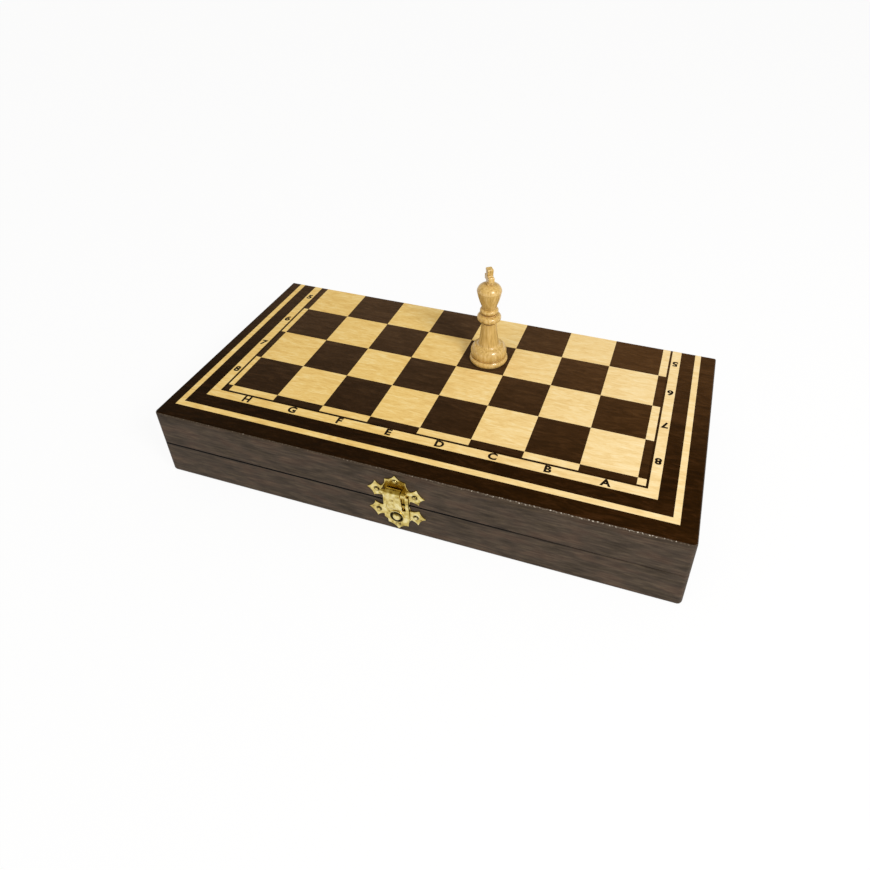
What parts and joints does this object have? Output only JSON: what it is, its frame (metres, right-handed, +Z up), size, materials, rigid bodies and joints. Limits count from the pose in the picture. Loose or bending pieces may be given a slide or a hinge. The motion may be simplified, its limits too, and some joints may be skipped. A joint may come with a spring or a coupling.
{
  "type": "folding chess case",
  "caption": "Folding wooden chess case: two hinged trays, half a chessboard on each outer face, a brass hasp at the front, chessmen inside and a king on top.",
  "frame": {"origin": "middle of the underside of the closed case", "axes": "+X to the right along the front, +Y from the clasp to the fold, +Z up"},
  "size_m": [0.352, 0.189, 0.129],
  "materials": {
    "board_panel": "printed beech veneer, satin varnish",
    "stained_rail": "dark stain, matt",
    "felt": "wool felt",
    "brass": "pressed sheet, brass plated, polished",
    "light_chessman": "turned, clear gloss lacquer",
    "dark_chessman": "turned, dark stain under gloss lacquer"
  },
  "bodies": {
    "lower_half": {"lower_board_panel": "board_panel", "lower_front_rail": "stained_rail", "lower_back_rail": "stained_rail", "lower_left_rail": "stained_rail", "lower_right_rail": "stained_rail", "lower_tray_divider": "stained_rail", "lower_felt_lining": "felt", "left_hinge_lower_leaf": "brass", "right_hinge_lower_leaf": "brass", "left_hinge_pin": "brass", "right_hinge_pin": "brass", "lower_hinge_screws": "brass", "catch_plate": "brass", "catch_nails": "brass", "catch_stud": "brass", "white_queen": "light_chessman", "white_bishops": "light_chessman", "white_knights": "light_chessman", "white_rooks": "light_chessman", "white_pawns": "light_chessman", "black_king": "dark_chessman", "black_king_cross": "dark_chessman", "black_queen": "dark_chessman", "black_bishops": "dark_chessman", "black_knights": "dark_chessman", "black_rooks": "dark_chessman", "black_pawns": "dark_chessman"},
    "upper_half": {"upper_board_panel": "board_panel", "upper_front_rail": "stained_rail", "upper_back_rail": "stained_rail", "upper_left_rail": "stained_rail", "upper_right_rail": "stained_rail", "upper_felt_lining": "felt", "left_hinge_upper_leaf": "brass", "right_hinge_upper_leaf": "brass", "upper_hinge_screws": "brass", "clasp_upper_plate": "brass", "clasp_nails": "brass", "clasp_pin": "brass"},
    "clasp_hasp": {"clasp_hasp": "brass"},
    "white_king": {"white_king": "light_chessman", "white_king_cross": "light_chessman"}
  },
  "joints": [
    {"name": "case_hinge", "type": "hinge", "parent": "lower_half", "child": "upper_half", "pos_m": [0, 0.09015, 0.027], "axis": [-1, 0, 0], "range_deg": [0, 180]},
    {"name": "hasp_hinge", "type": "hinge", "parent": "upper_half", "child": "clasp_hasp", "pos_m": [-0.0018, -0.0939, 0.0392], "axis": [-1, 0, 0], "range_deg": [0, 105]},
    {"name": "king_carry", "type": "hinge", "parent": "upper_half", "child": "white_king", "pos_m": [0.0174, -0.05305, 0.054], "axis": [-1, 0, 0], "range_deg": [-180, 0]}
  ],
  "couplings": [
    {"joint": "king_carry", "follows": "case_hinge", "ratio": -1}
  ]
}
